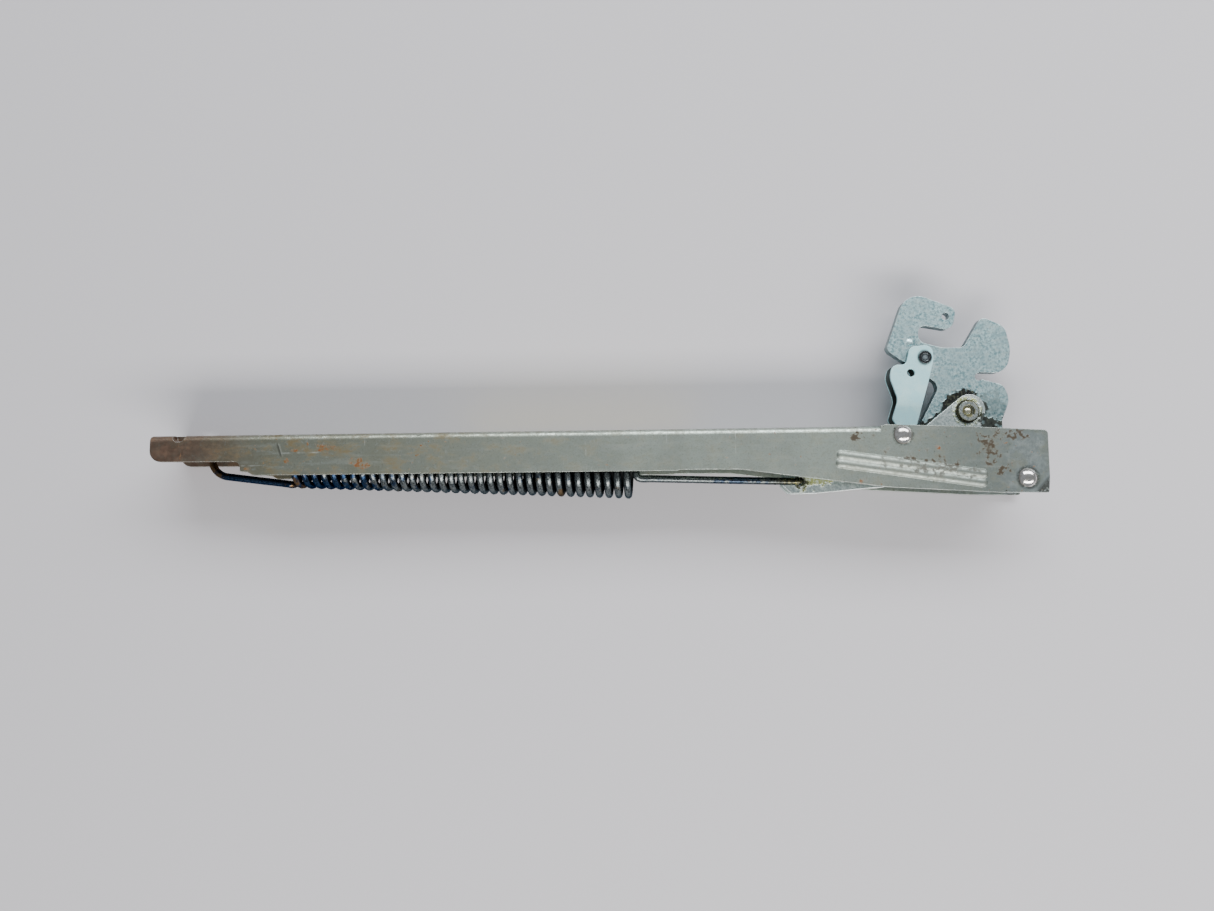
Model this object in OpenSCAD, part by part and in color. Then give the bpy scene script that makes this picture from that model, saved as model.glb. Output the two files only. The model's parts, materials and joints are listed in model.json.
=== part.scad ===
// Spring hinge with hook arm, as fitted in the side of a heavy drop-down door.
//
// The hinge lies on its side: X runs along the channel towards the hook arm, Y towards
// the channel's back, Z across the channel from its far wall to its near wall.
// Lengths below are measured from the main pivot's axis and from the channel's middle
// plane. place() moves the finished piece to the frame whose origin is the bottom centre
// of the whole hinge's bounding box.

/* [Channel] */
// Width of the channel over both walls
channel_w = 22; // [20:0.5:26]
// Thickness of the channel's sheet
sheet_t = 1.5; // [1.2:0.1:1.8]
// Height of the channel's back above the main pivot's axis, near the nose
back_y = 15; // [15:0.1:15.3]
// Left end of the channel, seen from the main pivot
nose_x = -281; // [-290:1:-278]
// Right end of the channel, seen from the main pivot
tall_end_x = 7; // [7:0.1:9]
// Where the channel's back ends and the open, taller part begins
back_end_x = -46.5; // [-48:0.1:-46]
// Height of the pressed ribs above the wall
rib_h = 0.7; // [0.4:0.1:0.8]

/* [Pins] */
// Radius of the main pivot's and the guide pin's shanks
pin_r = 2; // [1.8:0.05:2.2]
// Radius of the pins' heads
head_r = 3.1; // [2.8:0.1:3.6]
// Height of the domed heads on the near wall
dome_h = 1.6; // [1.2:0.1:2]
// Height of the flat closing heads on the far wall
tail_h = 0.8; // [0.8:0.1:1.2]
// Running clearance between a pin and what turns on it
running_gap = 0.05; // [0.02:0.01:0.08]

/* [Hook arm] */
// Thickness of the hook arm
arm_t = 3; // [2.6:0.1:3.2]
// Radius of the hole in the hook's tip
tip_hole_r = 1.25; // [1:0.05:1.5]
// Radius of the closed end of the frame notch
notch_r = 1.3; // [1.1:0.1:1.4]
// Radius of the bush in the hook arm's eye
bush_r = 3; // [2.8:0.1:3.2]

/* [Link] */
// Thickness of each link cheek
cheek_t = 1.9; // [1.5:0.1:2]
// Gap between the hook arm and each link cheek
cheek_gap = 0.1; // [0.06:0.01:0.15]
// Radius of the rivet that joins the link to the hook arm
link_rivet_r = 2.2; // [2:0.1:2.4]

/* [Flip catch] */
// Thickness of the catch's sheet
catch_t = 1; // [0.8:0.1:1.2]
// Gap between the hook arm and each cheek of the catch
catch_gap = 0.35; // [0.32:0.01:0.5]
// Radius of the rivet that the catch turns on
catch_rivet_r = 1.2; // [1:0.1:1.4]
// Radius of the detent hole in each cheek of the catch
detent_r = 1.35; // [1.2:0.05:1.4]

/* [Spring] */
// Diameter of the spring wire
wire_d = 2.4; // [1.8:0.1:2.5]
// Radius of the coil, at the middle of the wire
coil_r = 6.3; // [6:0.1:6.3]
// Number of turns in the coil
coil_turns = 35.72; // [30.72:1:37.72]

/* [Hidden] */

$fn = 64;
eps = 0.01;
wall_z = channel_w / 2;
inner_z = wall_z - sheet_t;

// Bottom centre of the bounding box, seen from the main pivot and the middle plane
box_centre_x = -137;
box_centre_y = 28.1;
box_bottom_z = -wall_z - tail_h;

// Axes that cross the channel, as [x, y]
guide_at = [-39.4, 14];
link_rivet_at = [-15.4, 22.4];
spring_hole_at = [-71, -0.6];
spacer_at = [-57, 0.6];
catch_at = [-28.5, 40.7];
detent_at = [-33.3, 35.5];
tip_hole_at = [-20.6, 54.9];
notch_end_at = [-10.2, 34.3];
bump_at = [-33, 46];

guide_roller_r = 2.35;
guide_bore_r = 1.55;
guide_shank_r = guide_bore_r - running_gap;
sleeve_r = 2.9;
eye_r = 4.6;

steel = [0.55, 0.58, 0.56];
zinc = [0.58, 0.68, 0.70];
pale_zinc = [0.68, 0.79, 0.79];
polished = [0.82, 0.82, 0.80];
black_steel = [0.12, 0.13, 0.14];
blued_steel = [0.22, 0.27, 0.34];
label_yellow = [0.85, 0.75, 0.20];

// ---------------------------------------------------------------- helpers

module place()
    translate([-box_centre_x, -box_centre_y, -box_bottom_z]) children();

function unit(v) = v / norm(v);

// Arc that rounds corner b, between its neighbours a and c, with radius r
arc_steps = 8;
function fillet(a, b, c, r) =
    r == 0 ? [b] :
    let (
        to_a = unit(a - b),
        to_c = unit(c - b),
        half = acos(to_a * to_c) / 2,
        centre = b + unit(to_a + to_c) * r / sin(half),
        from = b + to_a * r / tan(half) - centre,
        to = b + to_c * r / tan(half) - centre,
        start = atan2(from.y, from.x),
        sweep = (atan2(to.y, to.x) - start + 540) % 360 - 180
    )
    [for (i = [0:arc_steps]) let (t = start + sweep * i / arc_steps) centre + r * [cos(t), sin(t)]];

// Outline from corners given as [x, y, rounding radius]
function rounded(corners) =
    let (n = len(corners), at = [for (c = corners) [c.x, c.y]])
    [for (i = [0:n - 1]) each fillet(at[(i + n - 1) % n], at[i], at[(i + 1) % n], corners[i].z)];

// Plate with the given corners, lying between two heights
module plate(corners, low, high)
    translate([0, 0, low]) linear_extrude(high - low) polygon(rounded(corners));

// Round bar across the channel at a point [x, y]
module bar(at, r, low, high)
    translate([at.x, at.y, low]) cylinder(r = r, h = high - low);

// Copies a child to the far side of the middle plane as well
module both_sides() {
    children();
    mirror([0, 0, 1]) children();
}

// Domed cap of base radius r and height h on a face at height z, rooted below the face
module dome(at, r, h, z, root = 0) {
    sphere_r = (r * r + h * h) / (2 * h);
    intersection() {
        translate([at.x, at.y, z + h - sphere_r]) sphere(r = sphere_r, $fn = 96);
        bar(at, sphere_r + 1, z - root, z + h + 1);
    }
}

// ---------------------------------------------------------------- channel

bend_r = 2;
lower_left_y = 1.9;
nose_low_y = 6.3;
wire_hole_x = -265.8;
wire_hole_r = 1.4;
relief_at = [-272, 14.6];
relief_r = 2;

// The back climbs gently from the nose to the open end
back_rise = 0.0092;
back_level_x = -252;
function back_at(x) = back_y + back_rise * (x - back_level_x);

module climb() {
    start = -back_rise * back_level_x;
    multmatrix([[1, 0, 0, 0], [back_rise, 1, 0, start], [0, 0, 1, 0], [0, 0, 0, 1]]) children();
}

// Side view of the channel
channel_side = [
    [nose_x, back_at(nose_x), 0.8], [back_end_x + 0.6, back_at(back_end_x + 0.6), 0.3],
    [back_end_x + 1.2, 17.3, 1],
    [-20, 16.6, 0], [tall_end_x, 15.3, 1.4], [tall_end_x, -4.8, 0.6], [-9, -4.7, 0],
    [-44, -2.9, 20], [-92, 3.1, 12], [-111, 3.1, 0], [-112, 2.8, 0],
    [-247.6, lower_left_y, 0.4], [-249.4, 2.9, 0.3], [-251.9, 3.1, 0.6],
    [-251.9, nose_low_y, 2], [nose_x, nose_low_y, 3.6]
];

// Cross section of the bent sheet, in [y, z]
module bent_section() {
    inner_r = bend_r - sheet_t;
    difference() {
        section_block(wall_z, back_y, bend_r);
        section_block(inner_z, back_y - sheet_t, inner_r);
    }
}

// Block with two rounded corners along the channel's back, in [y, z]
module section_block(half_w, top, r) {
    low = -10;
    translate([low, -half_w]) square([top - r - low, 2 * half_w]);
    translate([low, r - half_w]) square([top - low, 2 * (half_w - r)]);
    for (side = [-1, 1]) translate([top - r, side * (half_w - r)]) circle(r = r);
}

// Bent sheet along the back, then two flat walls along the open end
module channel_blank() {
    climb() translate([nose_x, 0, 0])
        rotate([90, 0, 90]) linear_extrude(back_end_x - nose_x) bent_section();
    both_sides()
        translate([back_end_x - eps, -10, inner_z])
            cube([tall_end_x - back_end_x + eps, 30, sheet_t]);
}

rib_slope = -8;
rib_start = [-59.6, 6.2];
rib_len = 45.6;
rib_half_w = 1.6;
rib_pitch = 2.7;

// One pressed rib: a rounded ridge that ends in two domes
module rib_form(radius, sink) {
    translate([0, 0, -sink]) {
        rotate([0, 90, 0]) cylinder(r = radius, h = rib_len);
        sphere(r = radius);
        translate([rib_len, 0, 0]) sphere(r = radius);
    }
}

// Both ribs of the near wall, drawn with the given ridge
module rib_pair(radius, sink, face_z) {
    for (side = [-1, 1])
        translate([rib_start.x, rib_start.y, face_z])
            rotate(rib_slope) translate([0, side * rib_pitch / 2, 0]) rib_form(radius, sink);
}

module ribs_outside() {
    ridge_r = (rib_half_w * rib_half_w + rib_h * rib_h) / (2 * rib_h);
    intersection() {
        rib_pair(ridge_r, ridge_r - rib_h, wall_z);
        translate([rib_start.x - 10, -10, wall_z - sheet_t / 2]) cube([rib_len + 20, 30, 5]);
    }
}

module ribs_inside() {
    groove_r = 1;
    rib_pair(groove_r, 0.3, inner_z);
}

// Hammered facet that thins the open end's lower corner
module corner_crimp() {
    fold_at = [4.9, -2.3];
    fold_turn = 48;
    facet_slope = 15;
    translate([fold_at.x, fold_at.y, wall_z]) rotate(fold_turn) rotate([facet_slope, 0, 0])
        translate([-5, -20, 0]) cube([20, 20, 5]);
}

module channel() {
    color(steel) place() difference() {
        union() {
            intersection() {
                channel_blank();
                plate(channel_side, -wall_z, wall_z);
            }
            both_sides() ribs_outside();
        }
        both_sides() ribs_inside();
        both_sides() corner_crimp();
        both_sides() bar(relief_at, relief_r, inner_z - 2, wall_z + 1);
        bar([0, 0], pin_r, -wall_z - 1, wall_z + 1);
        bar(guide_at, guide_shank_r, -wall_z - 1, wall_z + 1);
        translate([wire_hole_x, back_y - sheet_t - 1, 0])
            rotate([-90, 0, 0]) cylinder(r = wire_hole_r, h = sheet_t + 2);
    }
}

module blank_label() {
    label_x = -183;
    label_len = 78;
    label_w = 14;
    label_t = 0.2;
    color(label_yellow) place() climb()
        translate([label_x, back_y, -label_w / 2]) cube([label_len, label_t, label_w]);
}

// ---------------------------------------------------------------- pins

// Rivet through both walls: dome on the near wall, low flat head on the far wall
module wall_rivet(at, shank_r) {
    bar(at, shank_r, -wall_z - eps, wall_z + eps);
    dome(at, head_r, dome_h, wall_z);
    bar(at, head_r - 0.3, -wall_z - tail_h, -wall_z);
}

module main_pivot_pin()
    color(polished) place() wall_rivet([0, 0], pin_r);

module guide_pin()
    color(polished) place() wall_rivet(guide_at, guide_shank_r);

module pivot_sleeve() {
    difference() {
        bar([0, 0], sleeve_r, arm_t / 2 + cheek_gap, inner_z);
        bar([0, 0], pin_r, 0, wall_z);
    }
}

module pivot_sleeve_near()
    color(zinc) place() pivot_sleeve();

module pivot_sleeve_far()
    color(zinc) place() mirror([0, 0, 1]) pivot_sleeve();

module guide_roller() {
    half_l = inner_z - 0.2;
    color(zinc) place() difference() {
        bar(guide_at, guide_roller_r, -half_l, half_l);
        bar(guide_at, guide_bore_r, -wall_z, wall_z);
    }
}

// ---------------------------------------------------------------- hook arm

// Outline of the hook arm, clockwise from the hook's shoulder
arm_side = [
    [-33.4, 63.84, 6.5], [-16.9, 57.4, 2.3], [-18.5, 50.1, 3.2], [-29.9, 52.1, 2.3],
    [-30, 46.3, 2.9], [-22, 44.2, 5], [-15, 44.2, 2.8], [-8.5, 54.8, 2.3],
    [-0.8, 51.3, 4.2], [0.8, 43.5, 10], [-0.9, 35.5, 5], [-10.3, 35.9, 0.4],
    [-10, 33.8, 0.3], [-8.4, 33.1, 1], [-2.2, 31.6, 3.6], [-0.2, 26.8, 6],
    [-3.1, 19.7, 2], [-3.1, 8, 5], [2.5, 3, 0], [-2.2, -3.6, 0],
    [-27, 5.4, 6], [-34.2, 11.2, 2], [-24, 30.2, 3], [-24.8, 32.6, 1.2],
    [-39.8, 42.7, 0.8], [-40.6, 44.2, 1]
];

// Detent bump, pressed out of both faces
module detent_bump() {
    bump_r = 1.2;
    bump_h = 0.3;
    dome(bump_at, bump_r, bump_h, arm_t / 2, arm_t / 4);
}

module hook_arm() {
    color(zinc) place() difference() {
        union() {
            plate(arm_side, -arm_t / 2, arm_t / 2);
            bar([0, 0], eye_r, -arm_t / 2, arm_t / 2);
            both_sides() detent_bump();
        }
        bar([0, 0], bush_r, -arm_t, arm_t);
        bar(link_rivet_at, link_rivet_r + running_gap, -arm_t, arm_t);
        bar(catch_at, catch_rivet_r + running_gap, -arm_t, arm_t);
        bar(tip_hole_at, tip_hole_r, -arm_t, arm_t);
        bar(notch_end_at, notch_r, -arm_t, arm_t);
    }
}

module pivot_bush() {
    color(zinc) place() difference() {
        bar([0, 0], bush_r, -arm_t / 2, arm_t / 2);
        bar([0, 0], pin_r + running_gap, -arm_t, arm_t);
    }
}

// ---------------------------------------------------------------- flip catch

catch_inner_z = arm_t / 2 + catch_gap;
catch_outer_z = catch_inner_z + catch_t;

// Outline of one cheek, clockwise from its top left corner
catch_side = [
    [-33.4, 44.3, 2.4], [-25.9, 45, 2.6], [-25.6, 40, 8], [-27.5, 32.8, 20],
    [-32, 17.9, 0.7], [-38.8, 18, 1.8], [-39.9, 20.2, 1.6], [-37.8, 26.6, 5],
    [-40.3, 34, 5], [-39.4, 38.3, 2.4], [-34.8, 38.2, 2], [-34, 41.5, 3]
];

// Strip that joins the two cheeks along their lower right edge
catch_bridge = [[-29.1, 27.6, 0], [-30, 27.9, 0], [-33, 18.3, 0], [-32.1, 18, 0]];

module flip_catch() {
    color(pale_zinc) place() difference() {
        union() {
            both_sides() plate(catch_side, catch_inner_z, catch_outer_z);
            plate(catch_bridge, -catch_inner_z - eps, catch_inner_z + eps);
        }
        bar(catch_at, catch_rivet_r, -wall_z, wall_z);
        bar(detent_at, detent_r, -wall_z, wall_z);
    }
}

module catch_rivet() {
    rivet_head_r = 2.15;
    rivet_head_h = 0.6;
    dish_r = 1.3;
    color(black_steel) place() {
        difference() {
            union() {
                bar(catch_at, catch_rivet_r, -catch_outer_z - eps, catch_outer_z + eps);
                both_sides() bar(catch_at, rivet_head_r, catch_outer_z, catch_outer_z + rivet_head_h);
            }
            both_sides() bar(catch_at, dish_r, catch_outer_z + rivet_head_h / 2, wall_z);
        }
    }
}

// ---------------------------------------------------------------- link

cheek_inner_z = arm_t / 2 + cheek_gap;
cheek_outer_z = cheek_inner_z + cheek_t;
spring_hole_play = 0.4;
washer_t = 0.4;
washer_r = 3.9;

// Outline of one link cheek, clockwise from the tail's top
link_side = [
    [-75.6, 3.7, 3.2], [-62, 4.1, 12], [-50, 5.2, 12], [-41.6, 7.5, 5],
    [-19.5, 25.5, 0], [-13.6, 30.1, 4.9], [-8.9, 24, 4.9], [-12, 15, 4], [-22, 10.4, 8],
    [-35.6, 7.9, 2], [-39.6, 7.9, 1.2], [-40, -2.2, 3], [-49, -2.8, 0], [-66, -4.4, 10],
    [-74, -4.4, 0.5], [-76.6, -2, 0.6]
];

module link_cheek() {
    difference() {
        plate(link_side, cheek_inner_z, cheek_outer_z);
        bar(link_rivet_at, link_rivet_r, 0, wall_z);
        bar(spring_hole_at, wire_d / 2 + spring_hole_play, 0, wall_z);
        bar(spacer_at, spacer_pin_r, 0, wall_z);
    }
}

module link_cheek_near()
    color(pale_zinc) place() link_cheek();

module link_cheek_far()
    color(pale_zinc) place() mirror([0, 0, 1]) link_cheek();

// Tubular rivet: rolled rims with a domed core
module link_rivet() {
    rim_r = 3.3;
    rim_h = 0.9;
    recess_r = 2;
    core_r = 1.45;
    core_h = 0.7;
    rim_z = cheek_outer_z + washer_t;
    color(polished) place() {
        difference() {
            union() {
                bar(link_rivet_at, link_rivet_r, -rim_z - eps, rim_z + eps);
                both_sides() bar(link_rivet_at, rim_r, rim_z, rim_z + rim_h);
            }
            both_sides() bar(link_rivet_at, recess_r, rim_z, wall_z);
        }
        both_sides() dome(link_rivet_at, core_r, core_h, rim_z);
    }
}

module link_washer() {
    difference() {
        bar(link_rivet_at, washer_r, cheek_outer_z, cheek_outer_z + washer_t);
        bar(link_rivet_at, link_rivet_r, 0, wall_z);
    }
}

module link_washer_near()
    color(black_steel) place() link_washer();

module link_washer_far()
    color(black_steel) place() mirror([0, 0, 1]) link_washer();

// Collar between the cheeks, with a riveted shoulder through each
spacer_pin_r = 1.4;
spacer_r = 2.4;
spacer_rivet_h = 0.4;

module link_spacer() {
    rivet_z = cheek_outer_z + spacer_rivet_h;
    color(zinc) place() {
        bar(spacer_at, spacer_r, -cheek_inner_z, cheek_inner_z);
        bar(spacer_at, spacer_pin_r, -rivet_z, rivet_z);
    }
}

// ---------------------------------------------------------------- spring

coil_left = [-238.9, 5.7];
coil_right = [-125.1, 1.6];
coil_start = 180;
steps_per_turn = 10;
wire_sides = 8;

// Point on the coil's centre line; t runs from 0 at the left to 1 at the right
function coil_point(t) =
    let (angle = coil_start + t * coil_turns * 360, axis = coil_left + t * (coil_right - coil_left))
    [axis.x, axis.y + coil_r * cos(angle), coil_r * sin(angle)];

// Direction of the wire at the coil's start or end
function coil_heading(angle) = [0, -sin(angle), cos(angle)];

// Cubic curve between two points with given headings, and reach as its handles' length
function blend_curve(p, heading_p, q, heading_q, reach, n) =
    let (a = p + heading_p * reach, b = q - heading_q * reach)
    [for (i = [1:n - 1]) let (t = i / n, s = 1 - t)
        s * s * s * p + 3 * s * s * t * a + 3 * s * t * t * b + t * t * t * q];

arm_bend_r = 6;
arm_low_y = 2.1;
arm_slope = 7;
hook_bend_r = 2;
hook_z = cheek_outer_z + wire_d / 2 + 0.15;
coil_steps = ceil(coil_turns * steps_per_turn);
coil_end = coil_start + coil_turns * 360;
run_right = [1, 0, 0];
run_start = [-120, 0.5, 5.4];

// Point on the left arm's bend, after turning by an angle
function arm_bend(a) =
    [wire_hole_x + arm_bend_r * (1 - cos(a)), arm_low_y + arm_bend_r * (1 - sin(a)), 0];

// Left arm: down from the hole in the channel's back, round the bend, then to the coil
arm_heading = [cos(arm_slope), -sin(arm_slope), 0];
bend_end = arm_bend(90 - arm_slope);
arm_end = bend_end + arm_heading * (coil_left.x - 3 - bend_end.x) / arm_heading.x;
left_arm = concat(
    [[wire_hole_x, back_y, 0], [wire_hole_x, arm_low_y + arm_bend_r, 0]],
    [for (i = [1:6]) arm_bend((90 - arm_slope) * i / 6)],
    [arm_end],
    blend_curve(arm_end, arm_heading, coil_point(0), coil_heading(coil_start), 2, 5)
);

// Right arm: from the coil along the link's near cheek, then across into its hole
bend_start_x = spring_hole_at.x - hook_bend_r;
right_arm = concat(
    blend_curve(coil_point(1), coil_heading(coil_end), run_start, run_right, 3, 6),
    [run_start, [-98, 0, hook_z], [bend_start_x, spring_hole_at.y, hook_z]],
    [for (a = [22.5:22.5:90]) [bend_start_x + hook_bend_r * sin(a), spring_hole_at.y,
        hook_z - hook_bend_r * (1 - cos(a))]],
    [[spring_hole_at.x, spring_hole_at.y, -cheek_outer_z - 1]]
);

wire_path = concat(left_arm, [for (i = [0:coil_steps]) coil_point(i / coil_steps)], right_arm);

// Headings along a path, and cross directions carried along it without twisting
function headings(path) =
    let (last = len(path) - 1)
    [for (i = [0:last]) unit(path[min(i + 1, last)] - path[max(i - 1, 0)])];

function carry(v, heading) = unit(v - (v * heading) * heading);

function cross_directions(heads, first) =
    [for (i = 0, v = carry(first, heads[0]); i < len(heads);
        i = i + 1, v = i < len(heads) ? carry(v, heads[i]) : v) v];

// Round bar swept along a path
module sweep(path, r, sides) {
    heads = headings(path);
    ups = cross_directions(heads, [0, 0, 1]);
    rings = len(path);
    points = [for (i = [0:rings - 1], j = [0:sides - 1])
        let (a = 360 * j / sides, side = cross(heads[i], ups[i]))
        path[i] + r * (cos(a) * ups[i] + sin(a) * side)];
    walls = [for (i = [0:rings - 2], j = [0:sides - 1])
        let (k = (j + 1) % sides, low = i * sides, high = low + sides)
        each [[low + j, high + j, high + k], [low + j, high + k, low + k]]];
    first_cap = [for (j = [0:sides - 1]) j];
    last_cap = [for (j = [sides - 1:-1:0]) (rings - 1) * sides + j];
    polyhedron(points, concat(walls, [first_cap, last_cap]));
}

module tension_spring()
    color(blued_steel) place() sweep(wire_path, wire_d / 2, wire_sides);

channel();
main_pivot_pin();
pivot_sleeve_near();
pivot_sleeve_far();
guide_pin();
guide_roller();
blank_label();
hook_arm();
pivot_bush();
flip_catch();
catch_rivet();
link_cheek_near();
link_cheek_far();
link_rivet();
link_washer_near();
link_washer_far();
link_spacer();
tension_spring();
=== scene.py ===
import json
import math

import bmesh
import bpy
from mathutils import Matrix, Vector


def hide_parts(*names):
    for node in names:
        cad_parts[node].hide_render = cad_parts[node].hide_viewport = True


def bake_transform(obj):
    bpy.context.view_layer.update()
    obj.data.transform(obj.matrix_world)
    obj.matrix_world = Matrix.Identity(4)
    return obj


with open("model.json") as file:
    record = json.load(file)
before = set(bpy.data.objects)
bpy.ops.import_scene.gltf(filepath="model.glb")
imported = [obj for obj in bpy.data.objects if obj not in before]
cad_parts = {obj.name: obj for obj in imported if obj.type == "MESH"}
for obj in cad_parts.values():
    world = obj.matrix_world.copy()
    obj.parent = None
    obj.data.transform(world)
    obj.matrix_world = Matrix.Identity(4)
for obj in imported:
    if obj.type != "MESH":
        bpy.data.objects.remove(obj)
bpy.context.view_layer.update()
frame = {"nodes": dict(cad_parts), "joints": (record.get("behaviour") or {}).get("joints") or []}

MM = 0.001
ALONG = Vector((1, 0, 0))


# ------------------------------------------------------------------ places from the frame

def joint_at(name):
    """Point on a joint's axis, in the row frame."""
    return Vector(next(j["pos_m"] for j in frame["joints"] if j["name"] == name))


def from_pivot(x, y, z=0.0):
    """Point given in millimetres from the main pivot and the channel's middle plane."""
    return PIVOT + Vector((x, y, z)) * MM


PIVOT = joint_at("hook_arm_hinge")
LINK_PIVOT = joint_at("link_pivot")
CATCH_PIVOT = joint_at("flip_catch_hinge")
GUIDE = joint_at("roller_spin")
WALL_OUT = 11.0
WALL_NEAR_Z = PIVOT.z + WALL_OUT * MM

WIRE_R = 1.2 * MM
COIL_R = 6.3 * MM
COIL_TURNS = 35.72
COIL_START = math.radians(180)
COIL_LEFT = from_pivot(-238.9, 5.7)
COIL_RIGHT = from_pivot(-125.1, 1.6)
HOOK_HOLE = from_pivot(-71, -0.6)
HOOK_Z = 4.85 * MM
HOOK_TIP_Z = -4.5 * MM
HOOK_BEND_R = 2 * MM
ARM_TOP = from_pivot(-265.8, 15)
ARM_LOW_Y = from_pivot(0, 2.1).y
ARM_BEND_R = 6 * MM
ARM_SLOPE = math.radians(7)


# ------------------------------------------------------------------ camera, floor and light

def add_camera():
    """Looks down on the hinge at close range, with the hinge rolled a little about its length."""
    distance = 273.5 * MM
    left_of_pivot = 134.5 * MM
    above_pivot = 7.0 * MM
    roll = math.radians(5.0)
    turn = math.radians(0.28)
    data = bpy.data.cameras.new("camera")
    data.sensor_width = 36.0
    data.lens = 25.4
    data.clip_start = 0.01
    camera = bpy.data.objects.new("camera", data)
    bpy.context.collection.objects.link(camera)
    turned = Matrix.Rotation(roll, 4, "X") @ Matrix.Rotation(-turn, 4, "Z")
    target = Vector((PIVOT.x, PIVOT.y, WALL_NEAR_Z))
    stand = turned @ Vector((-left_of_pivot, above_pivot, distance))
    camera.matrix_world = Matrix.Translation(target + stand) @ turned
    bpy.context.scene.camera = camera


def add_area_light(name, place, size, power, colour=(1, 1, 1)):
    data = bpy.data.lights.new(name, "AREA")
    data.shape = "RECTANGLE"
    data.size, data.size_y = size
    data.energy = power
    data.color = colour
    lamp = bpy.data.objects.new(name, data)
    lamp.location = place
    lamp.rotation_euler = Vector((0, -place[1], -place[2])).to_track_quat("-Z", "Y").to_euler()
    bpy.context.collection.objects.link(lamp)


def add_studio():
    """Two long soft lights, one on each side of the hinge, under a dim even sky."""
    world = bpy.data.worlds.new("studio")
    world.use_nodes = True
    background = world.node_tree.nodes["Background"]
    background.inputs["Color"].default_value = (0.90, 0.95, 1.0, 1)
    background.inputs["Strength"].default_value = 0.32
    bpy.context.scene.world = world
    add_area_light("front_light", (0.55, -0.80, 0.75), (1.9, 0.30), 23.5, (1.0, 0.98, 0.95))
    add_area_light("back_light", (0.55, 0.80, 0.72), (1.9, 0.45), 22.5, (0.95, 0.98, 1.0))


def add_floor():
    half = 3.0
    mesh = bpy.data.meshes.new("floor")
    corners = [(-half, -half, 0), (half, -half, 0), (half, half, 0), (-half, half, 0)]
    mesh.from_pydata(corners, [], [(0, 1, 2, 3)])
    floor = bpy.data.objects.new("floor", mesh)
    bpy.context.collection.objects.link(floor)
    material = bpy.data.materials.new("floor")
    material.use_nodes = True
    shader = material.node_tree.nodes["Principled BSDF"]
    shader.inputs["Base Color"].default_value = (0.54, 0.525, 0.55, 1)
    shader.inputs["Roughness"].default_value = 0.85
    mesh.materials.append(material)


# ------------------------------------------------------------------ procedural finishes

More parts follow.
